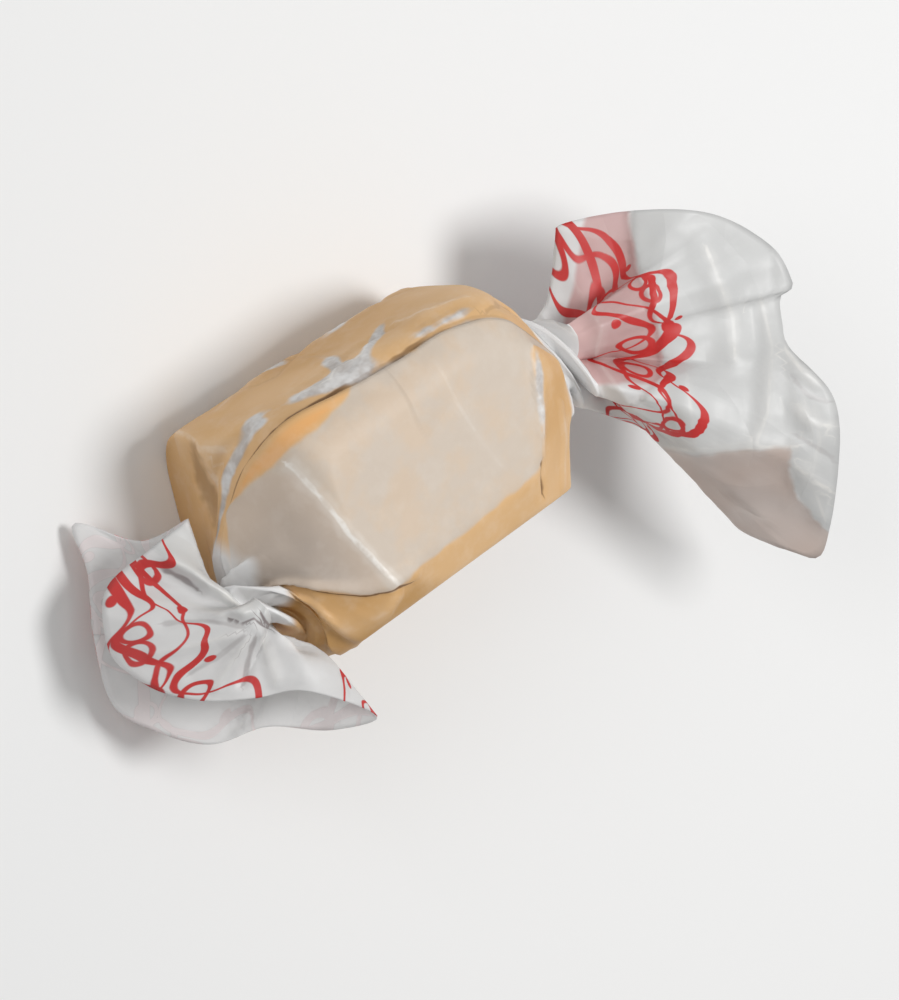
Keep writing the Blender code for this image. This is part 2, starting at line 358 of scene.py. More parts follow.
# Creases of the paper on the sweet: the kind of each, its height and half width in mm, how
# strong and how thin its drawn line is, and its points (mm along the roll, share round it). A
# step is high on the side towards +Y.
# A ridge's line is drawn pale, as whitened wax with a painted highlight on it; the line of a
# valley or a step is drawn dark, as painted shade in the fold.
bodyCreases = (
    ("ridge", 0.4, 0.9, 0.08, 1.0, (-15.3, 0.428), (-13.8, 0.405), (-12.7, 0.414), (-11.1, 0.373),
     (-8.9, 0.345)),
    ("step", 0.42, 1.3, 1.0, 1.5, (-15.0, 0.346), (-14.0, 0.354), (-13.1, 0.345), (-11.3, 0.335),
     (-9.9, 0.33), (-8.6, 0.33), (-7.2, 0.338)),
    ("valley", 0.55, 0.8, 0.25, 1.0, (-15.2, 0.465), (-13.6, 0.492), (-12.2, 0.478)),
    ("ridge", 0.04, 0.3, 1.0, 1.0, (-11.5, 0.13), (-11.1, 0.182), (-10.4, 0.247), (-9.5, 0.289),
     (-8.7, 0.326)),
    ("valley", 0.4, 0.7, 0.0, 1.0, (-13.9, 0.018), (-12.9, 0.022), (-11.7, 0.044)),
    ("ridge", 0.3, 0.8, 0.25, 1.0, (-12.4, 0.93), (-13.0, 0.985), (-13.7, 0.02)),
    ("ridge", 0.25, 0.7, 0.25, 1.0, (-13.0, 0.985), (-12.5, 0.03)),
    ("ridge", 0.22, 0.55, 0.6, 1.5, (-6.9, 0.066), (-4.6, 0.08), (-3.2, 0.066), (-1.4, 0.078),
     (0.4, 0.062)),
    ("valley", 0.22, 0.55, 0.0, 1.0, (-6.2, 0.046), (-3.4, 0.056), (-1.0, 0.048), (1.4, 0.05),
     (4.6, 0.066)),
    ("ridge", 0.18, 0.6, 0.25, 1.0, (3.4, 0.052), (6.0, 0.08), (8.8, 0.088)),
    ("valley", 0.3, 0.5, 0.9, 1.0, (7.1, 0.318), (6.8, 0.34), (6.7, 0.358)),
    ("valley", 0.35, 0.8, 0.5, 0.45, (-13.3, 0.965), (-13.7, 0.985), (-14.1, 0.012)),
    ("ridge", 0.05, 0.6, 0.12, 1.0, (2.4, 0.14), (2.4, 0.194), (3.0, 0.252), (3.7, 0.29)),
    ("ridge", 0.18, 0.5, 0.2, 1.0, (11.6, 0.262), (11.2, 0.33), (9.8, 0.398)),
    ("ridge", 0.1, 0.5, 0.25, 1.0, (10.4, 0.18), (9.5, 0.215), (9.1, 0.249), (7.4, 0.313),
     (6.8, 0.322)),
    ("valley", 0.25, 0.7, 0.25, 1.0, (12.6, 0.06), (10.6, 0.11), (9.2, 0.118)),
    ("ridge", 0.24, 0.9, 0.25, 1.0, (-9.6, 0.955), (-2.4, 0.93), (4.6, 0.962), (9.8, 0.935)),
    ("valley", 0.2, 0.7, 0.1, 1.0, (-10.0, 0.905), (-4.2, 0.968), (2.8, 0.912), (9.4, 0.972)),
    ("ridge", 0.2, 0.8, 0.25, 1.0, (-9.0, 0.6), (-3.0, 0.64), (4.0, 0.615), (9.0, 0.65)),
    ("ridge", 0.22, 0.9, 0.35, 1.0, (-10.2, 0.47), (-5.4, 0.535), (0.6, 0.5), (6.0, 0.548),
     (10.4, 0.52)),
    ("valley", 0.2, 0.8, 0.1, 1.0, (-9.0, 0.545), (-3.8, 0.47), (3.2, 0.545), (9.0, 0.48)),
    ("valley", 0.22, 0.7, 0.25, 1.0, (-8.0, 0.88), (-2.0, 0.85), (3.0, 0.885), (8.0, 0.86)),
)
# In mm: how far past its end a line shows, how far to each side, and over what it fades there
lineEnd, lineReach, lineFade = 0.5, 1.1, 0.4
# In mm: half the width of a step, how far off it its line lies, and a gap too wide to show
stepHalf, stepLineOff, wideGap = 0.3, 0.15, 9.0


def lineGap(right, up, points, girth=None):
    # How far each place is from the line through the points, which side of it that is on, and
    # whether it lies beside the line and not past its end. With a girth, the second
    # coordinate is a share round the roll.
    points = np.array(points, float)
    if girth:
        start = points[0, 1]
        up = aroundFrom(up, start) * girth
        points[:, 1] = aroundFrom(points[:, 1], start) * girth
    best = np.full(right.shape, np.inf)
    side, beside = np.zeros((2,) + right.shape)
    for start, end in zip(points, points[1:]):
        run = end - start
        out, over = right - start[0], up - start[1]
        part = np.clip((out * run[0] + over * run[1]) / np.dot(run, run), 0, 1)
        gap = np.hypot(out - part * run[0], over - part * run[1])
        across = (run[0] * over - run[1] * out) / np.linalg.norm(run)
        nearer = gap < best
        side = np.where(nearer, -np.sign(across), side)
        beside = np.where(nearer, np.clip(1 - (gap - np.abs(across)) / lineEnd, 0, 1), beside)
        best = np.minimum(gap, best)
    return best, side, beside


def lineShows(gap):
    return np.clip((lineReach - gap) / lineFade, 0, 1)


def nearerLine(line, other):
    # Of two lines, the strength and the signed gap of the one that is nearer
    nearer = np.abs(other[1]) < np.abs(line[1])
    return np.where(nearer, other[0], line[0]), np.where(nearer, other[1], line[1])


def creaseRelief(right, up, creases, girth=None):
    # Height of the creases in mm, and the nearest ridge and fold: its strength and signed gap
    none = (np.zeros(right.shape), np.full(right.shape, wideGap))
    relief, ridge, fold = np.zeros(right.shape), none, none
    for kind, height, width, strength, thin, *points in creases:
        gap, side, beside = lineGap(right, up, points, girth)
        tent = height * np.clip(1 - gap / width, 0, 1)
        line = (strength * beside * lineShows(gap), gap * side * thin)
        if kind == "ridge":
            relief += tent
            ridge = nearerLine(ridge, line)
        elif kind == "valley":
            relief -= tent
            fold = nearerLine(fold, line)
        else:
            relief += tent * easeStep(gap * side, -stepHalf, stepHalf)
            fold = nearerLine(fold, (line[0], line[1] + stepLineOff))
    return relief, ridge, fold


def wayFacing(turn, rise):
    turn, rise = math.radians(turn), math.radians(rise)
    return np.array((
        math.cos(rise) * math.cos(turn), math.cos(rise) * math.sin(turn), math.sin(rise),
    ))


def cutFlats(points, inset, amount):
    # Presses points back onto the flats, further in by the inset
    middle = np.array((0.0, 0.0, middleHeight))
    for turn, rise, distance, softness in flats:
        facing = wayFacing(turn, rise)
        over = (points - middle) @ facing - (distance * mm - inset)
        points = points - np.outer(softPart(over, softness * mm) * amount, facing)
    return points


def rollPlaces():
    # Places along the stations, at steps over the paper that are closest at the near ridge
    fine = np.linspace(0, len(rollStations) - 1, rollCount)
    rows = smoothRow(rollStations, fine)
    steps = np.hypot(
        np.hypot(np.diff(rows[:, 0]), np.diff(rows[:, 1])), np.diff(rows[:, 3]) * halfWidth / mm
    )
    length = lengthAlong(steps * readAt(rowCloseness, rows[1:, 0]))
    even = np.linspace(0, length[-1], sheet["rollRows"])
    return np.interp(even, length, fine)


def edgesAt(x):
    return readAt(edgePlaces, x), readAt(edgePlaces, x, 2)


def sharesAt(x):
    # Shares round the roll across the sheet, from its inner free edge to its outer one
    outer, inner = edgesAt(x)
    across = np.linspace(0, 1, sheet["columns"])
    return inner - across * (1 + inner - outer)


def buildSheetGrid():
    # The roll from throat to throat
    places = rollPlaces()
    rows = smoothRow(rollStations, places)
    centres = rows[:, :3] * mm
    centres[:, 2] += middleHeight
    tangents = np.gradient(centres, axis=0)
    grid, shares = [], []
    for row, centre, tangent in zip(rows, centres, tangents):
        x, width, height, power, turn, lean = row[0], *row[3:]
        share = sharesAt(x)
        part = {name: float(easeStep(width, *span)) for name, span in rollParts.items()}
        onBody, neck = part["body"], 1 - part["neckEnds"]
        swell = 1 + (sheet["swell"] - 1) * onBody
        across, upward = outlineAt(
            share + turn / 360, power, halfWidth * width * swell, halfHeight * height * swell
        )
        folds = nearFolds if x < 0 else farFolds
        onEnd = part["endStarts"] * (1 - part["endStops"])
        neckWave = foldWave(share, neckFolds)
        relief = sheet["endRelief"] * onEnd * foldWave(share, folds)
        relief += sheet["neckRelief"] * neck * neckWave
        # The paper is gathered inwards where it is twisted
        gathered = math.exp(-((abs(x) - sheet["twistAt"]) / sheet["twistRun"]) ** 2)
        folded = np.clip(sheet["twistSteep"] * neckWave - sheet["twistOff"], -1, 1)
        inwards = 0.5 - 0.5 * folded
        relief -= sheet["twistDepth"] * gathered * inwards
        size = np.hypot(across, upward)
        grown = 1 + relief * mm / size
        bent = max(0.0, 1 - sheet["turnsSquare"] * width)
        forward = unit((1 - bent) * np.array((1.0, 0.0, 0.0)) + bent * unit(tangent))
        side = unit(np.cross(np.array((0.0, 0.0, 1.0)), forward))
        top = np.cross(forward, side)
        ring = centre + np.outer(across * grown, side) + np.outer(upward * grown, top)
        ring[:, 0] += lean * mm * upward / halfHeight
        ring = cutFlats(ring, 0.0, part["drawnTight"])
        grid.append(ring)
        shares.append(share)
    left, right = sheet["leftRows"], sheet["rightRows"]
    leftRound = shares[0] + (rollStations[0][6] - fans["leftFold"]) / 360
    rightRound = shares[-1] + (rollStations[-1][6] - fans["rightFold"]) / 360
    leftFan = fanRows(grid[0], leftRound, unit(-tangents[0]), leftFront, leftRear, left)
    rightFan = fanRows(grid[-1], rightRound, unit(tangents[-1]), rightFront, rightRear, right)
    # How far out in its fan each row lies: the left fan counts down from -1, the right up to 1
    kind = np.concatenate([
        -np.linspace(1, 1 / left, left), np.zeros(len(grid)), np.linspace(1 / right, 1, right),
    ])
    rims = [leftRound] * left + [0 * leftRound] * len(grid) + [rightRound] * right
    grid = leftFan[::-1] + grid + rightFan
    shares = [shares[0]] * left + shares + [shares[-1]] * right
    return np.array(grid), np.array(shares), np.array(rims) % 1.0, kind


# Folds of the fans. Places are (right, up) in mm from the throat, in the fans' plane. Below the
# lower crease the paper turns away by the slope, as in the CAD model.
lowerCrease = ((0.0, -3.0), (4.0, -5.8), (9.5, -7.0), (12.0, -6.7), (16.7, -6.4), (20.5, -5.2))
lowerSlope = 0.5
lowerSoftness = 0.3
# The left edge of the doubled white panel, and of the crumpled strip: up first, then right
panelEdge = ((-6.6, 2.0), (-4.4, 3.2), (-2.9, 5.6), (-1.2, 7.1), (1.7, 7.0), (4.9, 6.0),
             (7.1, 5.1), (9.9, 4.8))
stripEdge = ((-13.3, 20.5), (-11.8, 18.5), (-9.4, 16.9), (-7.5, 16.5), (-5.1, 17.3),
             (-3.9, 16.9), (-1.1, 16.7), (1.0, 16.2), (5.0, 15.7), (9.0, 15.5))
# The creases of both fans, as on the sweet but through (right, up)
rightCreases = (
    ("ridge", 0.42, 1.7, 0.5, 1.0, (10.4, 8.3), (11.4, 5.6), (12.4, 3.2), (12.5, 0.4)),
    ("valley", 0.25, 1.3, 0.0, 1.0, (13.4, 5.8), (14.0, 1.5), (13.5, -3.2)),
    ("ridge", 0.3, 1.2, 0.3, 1.0, (14.5, 4.4), (15.3, 1.0), (14.9, -3.9), (14.0, -6.2)),
    ("ridge", 0.24, 0.9, 0.5, 1.0, (2.2, -4.9), (5.4, -6.2), (9.6, -6.6), (13.0, -6.4),
     (17.1, -6.3)),
    ("ridge", 0.35, 1.8, 0.2, 1.0, (8.9, -1.4), (9.2, -4.0), (9.6, -6.4)),
    ("valley", 0.25, 1.1, 0.0, 1.0, (6.9, -0.6), (7.4, -3.0), (7.2, -5.6)),
    ("ridge", 0.4, 1.2, 0.3, 1.0, (-0.4, 8.6), (0.9, 5.2), (2.6, 2.4), (2.2, 0.4)),
    ("valley", 0.45, 0.9, 0.2, 1.0, (1.4, -0.6), (2.4, -2.6), (3.4, -4.6)),
    ("ridge", 0.4, 0.9, 0.2, 1.0, (2.6, -0.4), (4.2, -2.6), (5.4, -4.6)),
    ("ridge", 0.22, 0.6, 0.5, 1.0, (16.3, 0.8), (17.4, -0.6), (18.6, -1.6)),
    ("valley", 0.25, 0.6, 0.2, 1.0, (16.9, -1.4), (18.0, -2.6), (19.4, -3.0)),
    ("ridge", 0.3, 0.7, 0.6, 1.0, (17.3, -3.4), (18.4, -4.6), (19.8, -4.8)),
    ("valley", 0.25, 0.7, 0.2, 1.0, (17.2, -5.6), (18.6, -6.4), (19.9, -7.2)),
    ("ridge", 0.3, 0.7, 0.6, 1.0, (17.1, -7.8), (18.3, -8.8), (19.8, -9.6)),
    ("ridge", 0.22, 0.6, 0.3, 1.0, (18.3, -3.6), (18.8, -6.0), (18.2, -8.6), (19.2, -11.4)),
    ("ridge", 0.2, 0.9, 0.2, 1.0, (6.6, -8.6), (11.0, -10.4), (15.2, -11.8)),
)
# The folded strip of the left fan, which is the lower border of its white part
leftStrip = ((-5.9, 4.6), (-4.6, 3.9), (-2.8, 2.7), (-0.6, 0.9))
leftCreases = (
    ("valley", 0.35, 0.6, 0.8, 2.2, (-1.9, 0.4), (-0.8, 0.0), (0.0, 0.4), (0.7, -0.2),
     (1.5, -0.5)),
    ("valley", 0.25, 0.5, 0.9, 1.8, (0.5, 0.8), (0.8, 0.2), (1.1, -0.1)),
    ("ridge", 0.6, 1.3, 0.5, 1.0, *leftStrip),
    ("valley", 0.45, 0.8, 0.7, 1.0, (-6.5, 3.9), (-5.2, 3.3), (-4.1, 2.5)),
    ("valley", 0.3, 0.9, 0.1, 1.0, (-4.3, 6.2), (-2.4, 4.6), (-0.4, 2.4)),
    ("ridge", 0.35, 0.9, 0.3, 1.0, (-7.6, 1.6), (-4.6, 1.4), (-1.2, 0.3)),
    ("valley", 0.3, 0.8, 0.3, 1.0, (-6.6, 0.0), (-3.4, 0.2), (-0.8, -0.2)),
    ("ridge", 0.35, 0.8, 0.3, 1.0, (-7.4, -2.2), (-4.2, -1.5), (-0.9, -0.6)),
    ("valley", 0.3, 0.7, 0.3, 1.0, (-4.6, -3.6), (-2.6, -2.4), (-0.7, -0.9)),
    ("ridge", 0.3, 0.7, 0.4, 1.0, (-2.8, -4.6), (-1.7, -2.9), (-0.4, -1.1)),
    ("valley", 0.35, 0.6, 0.5, 1.0, (-0.8, -4.4), (-0.4, -2.6), (0.1, -1.0)),
    ("ridge", 0.3, 0.7, 0.4, 1.0, (1.4, -4.2), (0.9, -2.6), (0.6, -1.1)),
)
# The wave of the left fan round its throat: degrees, and its height for each mm of reach
leftWave = ((120, 0.0), (140, 0.027), (158, -0.032), (176, 0.027), (196, -0.014), (216, 0.022),
            (236, -0.027), (262, 0.027), (285, -0.022), (308, 0.018), (330, 0.0))
# Heights in mm off the fans' plane: of the panel's and the strip's edges, of the folds at the
# throat, and of the fine folds by reach. Spans in mm over which the edges rise.
fanSteps = {
    "panel": 0.4,
    "panelSpan": (-0.3, 0.15),
    "panelSlope": 0.045,
    "panelSoftness": 0.2,
    "strip": 0.45,
    "stripSpan": (-0.3, 0.3),
    "gather": 0.5,
    "ruffle": 0.03,
    "rufflePower": 0.8,
    "frontSteep": 2.5,  # how soon inside the fan's two sides its front folds are full
    "rise": 5,  # the folds are full past a fifth of the way out
    "whiteReach": 2.6,  # of the left fan's white part, to each side of its strip
    "whiteOver": 0.5,  # and past the strip's line
    "pinkLean": 0.2,
    "pinkLeft": 0.6,  # how far the right fan's pink part reaches left of the throat, and below
    "pinkBelow": 1.8,
}


def pastLine(along, across, line):
    # How far a place lies past a line that is given by its place along and across it
    return across - readAt(line, along)


def foldFans(grid, shares, rims, kind):
    # Folds both fans off their smooth spread, and returns the masks that go with the folds.
    # The white, the pink and the relief's front part belong to the shown layer alone.
    names = ("strengthRidge", "gapRidge", "strengthFold", "gapFold", "fanWhite", "fanPink",
             "fanLowerShaded")
    masks = {name: np.zeros(shares.shape) for name in names}
    grid = grid.copy()
    for side in (-1, 1):
        rows = np.nonzero(np.sign(kind) == side)[0]
        throat = grid[rows[-1] + 1 if side < 0 else rows[0] - 1].mean(axis=0)
        part = np.abs(kind[rows])[:, None]
        right = (grid[rows] - throat) @ planeRight / mm
        up = (grid[rows] - throat) @ planeUp / mm
        reach = np.hypot(right, up)
        wave = np.sin(2 * math.pi * rims[rows])
        front = np.clip(fanSteps["frontSteep"] * wave, 0, 1)
        shown = rims[rows] < 0.5
        relief = fanSteps["gather"] * (1 - part) ** 2 * foldWave(shares[rows], gatherFolds)
        ruffle = fanSteps["ruffle"] * part * reach ** fanSteps["rufflePower"]
        relief += ruffle * foldWave(shares[rows], fanFolds)
        creases = rightCreases if side > 0 else leftCreases
        lines, ridge, fold = creaseRelief(right, up, creases)
        relief += lines * front
        for name, line in (("Ridge", ridge), ("Fold", fold)):
            masks["strength" + name][rows] = line[0] * front
            masks["gap" + name][rows] = line[1]
        if side > 0:
            below = pastLine(right, -up, [(r, -u) for r, u in lowerCrease])
            past = pastLine(up, right, panelEdge)
            strip = pastLine(up, right, stripEdge)
            relief += front * (
                fanSteps["panel"] * easeStep(past, *fanSteps["panelSpan"])
                - fanSteps["panelSlope"] * softPart(past, fanSteps["panelSoftness"])
                + fanSteps["strip"] * easeStep(strip, *fanSteps["stripSpan"])
            )
            above, panel = maskOf(-below), maskOf(past)
            white = np.maximum(np.minimum(panel, above), maskOf(strip))
            pink = maskOf(right - fanSteps["pinkLean"] * up + fanSteps["pinkLeft"])
            pink = np.minimum.reduce([1 - panel, pink, maskOf(up + fanSteps["pinkBelow"])])
            masks["fanWhite"][rows] = white * shown
            masks["fanPink"][rows] = pink * shown
            # The lower panel's mask: it carries the panel's painted shade
            masks["fanLowerShaded"][rows] = np.minimum(1 - above, maskOf(-strip))
            relief -= lowerSlope * softPart(below, lowerSoftness)
        else:
            angle = np.degrees(np.arctan2(up, right)) % 360
            relief += readAt(leftWave, angle) * reach * front
            gap, past = lineGap(right, up, leftStrip)[:2]
            white = np.minimum(fanSteps["whiteReach"] - gap, fanSteps["whiteOver"] - past * gap)
            masks["fanWhite"][rows] = maskOf(white) * shown
            bow = fans["bow"] * np.sin(math.pi * part) * np.exp(
                -((rims[rows] - 0.5) / fans["bowSpread"]) ** 2)
            bowWay = fans["bowWay"][0] * planeRight + fans["bowWay"][1] * planeUp
            grid[rows] += bow[:, :, None] * mm * bowWay
        relief *= np.clip(part * fanSteps["rise"], 0, 1)
        grid[rows] += relief[:, :, None] * mm * planeOff
    return grid, masks


def fanRows(ring, around, outward, front, rear, count):
    # A fan from its throat to its rim: straight out, then spread
    throat = ring.mean(axis=0)
    rim = rimAt(around, rimPoints(throat, front, rear), len(front))
    reach = rim - ring
    ahead = (reach @ outward) / np.linalg.norm(reach, axis=1)
    run = fans["throatRun"] * np.clip(ahead, fans["leastRun"], 1.0)
    control = throat + np.outer(run, outward) + fans["throatFlare"] * (ring - throat)
    rows = []
    for step in range(1, count + 1):
        part = step / count
        rows.append((1 - part) ** 2 * ring + 2 * part * (1 - part) * control + part**2 * rim)
    return rows


def outwardNormals(grid):
    # The way the paper faces at each point, away from the roll's middle line
    normals = np.cross(np.gradient(grid, axis=1), np.gradient(grid, axis=0))
    normals /= np.maximum(np.linalg.norm(normals, axis=2, keepdims=True), 1e-12)
    middle = len(grid) // 2
    away = grid[middle] - grid[middle].mean(axis=0)
    return normals if np.sum(away * normals[middle]) >= 0 else -normals


def layOverlap(grid, shares, kind):
    # Lifts the outer layer off the inner one by the way the paper faces, with a lifted lip
    across = np.linspace(0, 1, sheet["columns"])[None, :]
    meets = 1 / (shares[:, :1] - shares[:, -1:])
    rise = easeStep(across, meets - sheet["climb"], meets)
    lip = np.clip((across - 1 + sheet["lipWidth"]) / sheet["lipWidth"], 0, 1) ** 2
    shown = readAt(lipPlaces, grid[:, :, 0] / mm)
    body = 1 - easeStep(np.abs(kind), 0, sheet["lipEnds"])[:, None]
    lift = sheet["layerGap"] * rise + sheet["lipLift"] * lip * shown * body
    return grid + outwardNormals(grid) * lift[:, :, None]


# How dark the painted shadow in the crack under the outer edge is, by place along the roll in mm
seamShade = ((-15.5, 0.0), (-14.0, 0.5), (-12.6, 1.0), (-4.8, 1.0), (-3.9, 0.35), (-0.6, 0.35),
             (0.2, 0.8), (2.6, 0.8), (3.6, 0.3), (9.0, 0.2), (12.0, 0.0))
# How far off that edge the painted shadow's middle lies, which the lifted edge would hide
# otherwise
seamOff = ((-13.0, 0.55), (-5.0, 0.46), (0.0, 0.3))


def creaseBody(grid, shares, kind, masks):
    # Raises the creases of the paper on the sweet, and adds them to the masks
    x, around = grid[:, :, 0] / mm, shares % 1.0
    relief, ridge, fold = creaseRelief(x, around, bodyCreases, sheet["girth"])
    # The crack under the outer edge gets a line of painted shadow, as a fold
    gap = (edgesAt(x)[0] - around) * sheet["girth"] - readAt(seamOff, x)
    nearOuter = np.linspace(0, 1, sheet["columns"])[None, :] < 0.5
    fold = nearerLine(fold, (readAt(seamShade, x) * nearOuter * lineShows(np.abs(gap)), gap))
    body = 1 - easeStep(np.abs(kind), 0, sheet["creasesEnd"])[:, None]
    for name, line in (("Ridge", ridge), ("Fold", fold)):
        masks["strength" + name] = np.where(body > 0.5, line[0], masks["strength" + name])
        masks["gap" + name] = np.where(body > 0.5, line[1], masks["gap" + name])
    return grid + outwardNormals(grid) * (relief * body * mm)[:, :, None]


# Where the paper stands off the sweet and looks grey: place along the roll in mm and share
# round it, half length and half width in mm, turn in degrees, and how much it shows
greyPatches = (
    (-4.6, 0.082, 3.4, 1.15, 21, 1.25),
    (-2.4, 0.046, 2.5, 0.85, -72, 0.95),
    (1.0, 0.058, 3.2, 0.6, -34, 1.0),
    (5.2, 0.106, 3.4, 0.55, 4, 0.85),
    (9.4, 0.235, 4.6, 0.5, 112, 0.85),
    (-10.2, 0.034, 1.3, 0.9, 0, 0.75),
    (2.8, 0.425, 2.8, 0.6, 14, 0.8),
    (-4.8, 0.52, 3.4, 0.6, -16, 0.85),
    (7.6, 0.5, 2.4, 0.7, 66, 0.8),
    (2.0, 0.66, 3.8, 1.8, -8, 0.75),
    (-6.6, 0.905, 3.6, 1.3, 16, 0.85),
    (-3.6, 0.925, 2.0, 0.7, 40, 0.8),
    (3.8, 0.95, 3.4, 0.8, -10, 0.8),
    (6.4, 0.93, 1.6, 0.6, 60, 0.75),
)
# The grey band along the near end's cuff: its share round the roll, by place along it, its
# strength and its half width in shares
cuffBand = ((-14.6, 0.046), (-13.3, 0.044), (-12.5, 0.05), (-10.5, 0.056), (-9.6, 0.066))
cuffShows, cuffWidth = 0.8, 0.015
# The ridge where the near end's pale panel begins, in mm along the roll by share round it
panelRidge = ((0.13, -11.5), (0.182, -11.1), (0.247, -10.4), (0.289, -9.5), (0.326, -8.7))
# The near end's lower facets lie in shade, past a share round it, by place along the roll
shadedPlaces = ((-15.3, 0.43), (-12.7, 0.414), (-11.1, 0.373), (-9.2, 0.344), (-7.0, 0.334),
                (-3.0, 0.372))
# Where the near end's paper leaves the sweet, by share round it: mm from the middle
leavesPlaces = ((0.0, 14.0), (0.08, 14.5), (0.33, 14.5), (0.37, 13.8), (0.5, 13.8),
                (0.6, 14.2))
farLeaves = 12.9  # and at the far end
leavesMiddle = -0.4  # the place that both are counted from
leavesOver = 1.2  # mm from where the paper begins to leave to where it has left
paleSpread = 3.5  # mm over which the pale layer's mask rises
# Where each mask starts and is full: mm along the roll, or shares round it
spans = {
    "cuffAlong": (-9.3, -10.6),
    "shadedAlong": (-2.4, -7.2),
    "shadedPast": (0, 0.022),
    "shadedRound": (0.7, 0.6),
    "panelAlong": (-9.6, -12.8),
    "panelFrom": (0.12, 0.27),
    "panelTo": (0.335, 0.305),
    "clingsAlong": (2.0, 0.0),
}
clingsOver = 0.5
# How much of the print shows through to the inside of the right and of the left fan
inkRight, inkLeft = 0.85, 0.1


def patchShows(x, around, patch):
    place, share, length, width, turn, shows = patch
    turn = math.radians(turn)
    right, up = x - place, aroundFrom(around, share) * sheet["girth"]
    out = (right * math.cos(turn) + up * math.sin(turn)) / length
    over = (up * math.cos(turn) - right * math.sin(turn)) / width
    return shows * np.exp(-(out**2 + over**2))


def sheetMasks(grid, shares, kind):
    # What the paper does at each point: 0.5 is the border of each
    x, around, girth = grid[:, :, 0] / mm, shares % 1.0, sheet["girth"]
    outer, inner = edgesAt(x)
    wedge = readAt(wedgePlaces, x)
    inner = np.maximum(inner, readAt(panelLow, x, right=0.0))
    far = -pastLine(around, x, farPlaces)
    inside = np.minimum.reduce([(around - outer - wedge) * girth, (inner - around) * girth, far])
    pale = maskOf(inside, paleSpread)
    grey = sum(patchShows(x, around, patch) for patch in greyPatches)
    cuff = np.exp(-((around - readAt(cuffBand, x)) / cuffWidth) ** 2)
    grey += cuffShows * cuff * easeStep(x, *spans["cuffAlong"])
    leaves = np.where(x < 0, readAt(leavesPlaces, around), farLeaves)
    fan = np.abs(kind)[:, None] + 0 * x
    away = np.where(fan > 0, 1, np.clip((np.abs(x - leavesMiddle) - leaves) / leavesOver, 0, 1))
    clings = np.minimum(around - outer, outer + wedge - around) * girth
    clings = np.clip(clings / clingsOver, 0, 1)
    shaded = easeStep(x, *spans["shadedAlong"])
    shaded *= easeStep(around - readAt(shadedPlaces, x), *spans["shadedPast"])
    # Painted shade on the near end's panel, darker towards its lower end
    shade = easeStep(x, *spans["panelAlong"]) * easeStep(around, *spans["panelFrom"])
    return {
        "paleLayer": pale,
        # The near end's panel, down from its ridge, where the layers stand off the sweet
        "nearPanel": maskOf(-pastLine(around, x, panelRidge)) * pale,
        "shadedEnd": shaded * easeStep(around, *spans["shadedRound"]),
        "panelShade": shade * easeStep(around, *spans["panelTo"]),
        "clings": clings * easeStep(x, *spans["clingsAlong"]),
        "liftedOff": np.clip(grey, 0, 1),
        "leavesSweet": away,
        "fanPart": fan,
        "inkShows": np.where(kind[:, None] > 0, inkRight, inkLeft) + 0 * x,
    }


def buildSheet():
    grid, shares, rims, kind = buildSheetGrid()
    masks = sheetMasks(grid, shares, kind)
    grid, fanMasks = foldFans(grid, shares, rims, kind)
    masks.update(fanMasks)
    grid = creaseBody(grid, shares, kind, masks)
    grid = layOverlap(grid, shares, kind)
    grid[:, :, 2] = np.maximum(grid[:, :, 2], sheet["lowest"])
    rows, columns = grid.shape[:2]
    index = np.arange(rows * columns).reshape(rows, columns)
    corners = [index[:-1, :-1], index[1:, :-1], index[1:, 1:], index[:-1, 1:]]
    faces = np.stack(corners, axis=2).reshape(-1, 4)
    mesh = newMesh("wrapperSheet", grid.reshape(-1, 3).tolist(), faces.tolist())
    # The flat sheet as a map in centimetres: each end is measured out from its own throat
    steps = np.linalg.norm(np.diff(grid, axis=0), axis=2)
    along = np.concatenate([np.zeros((1, columns)), np.cumsum(steps, axis=0)])
    left, right = sheet["leftRows"], rows - 1 - sheet["rightRows"]
    along = np.where(
        np.arange(rows)[:, None] < rows // 2,
        along - along[left] - sheet["throatAt"], along - along[right] + sheet["throatAt"],
    )
    width = np.linspace(-0.5, 0.5, columns) * sheet["flatWidth"]
    flat = np.stack(np.broadcast_arrays(along, width[None, :]), axis=2).reshape(-1, 2)
    layer = mesh.uv_layers.new(name="flatSheet")
    corners = np.empty(len(mesh.loops), dtype=np.int32)
    mesh.loops.foreach_get("vertex_index", corners)
    layer.uv.foreach_set("vector", (flat[corners] / (10 * mm)).astype(np.float32).ravel())
    for name, values in masks.items():
        attribute = mesh.attributes.new(name, "FLOAT", "POINT")
        attribute.data.foreach_set("value", np.asarray(values, np.float32).ravel())
    mesh.shade_smooth()
    return addObject("waxedPaperSheet", mesh)


print("laying the sheet of paper")
paper = buildSheet()


# Small crinkles, made by Geometry Nodes along the way the paper faces
crinkles = {
    "Broad depth": 0.10 * mm,
    "Broad scale": 0.30,  # folds a millimetre
    "Fine depth": 0.035 * mm,
    "Fine scale": 1.1,
    "Body share": 0.10,
}
# How steep a crinkle's sides are, and the height that its foot is counted from
crinkleSteep, crinkleFoot = 4.0, 0.4


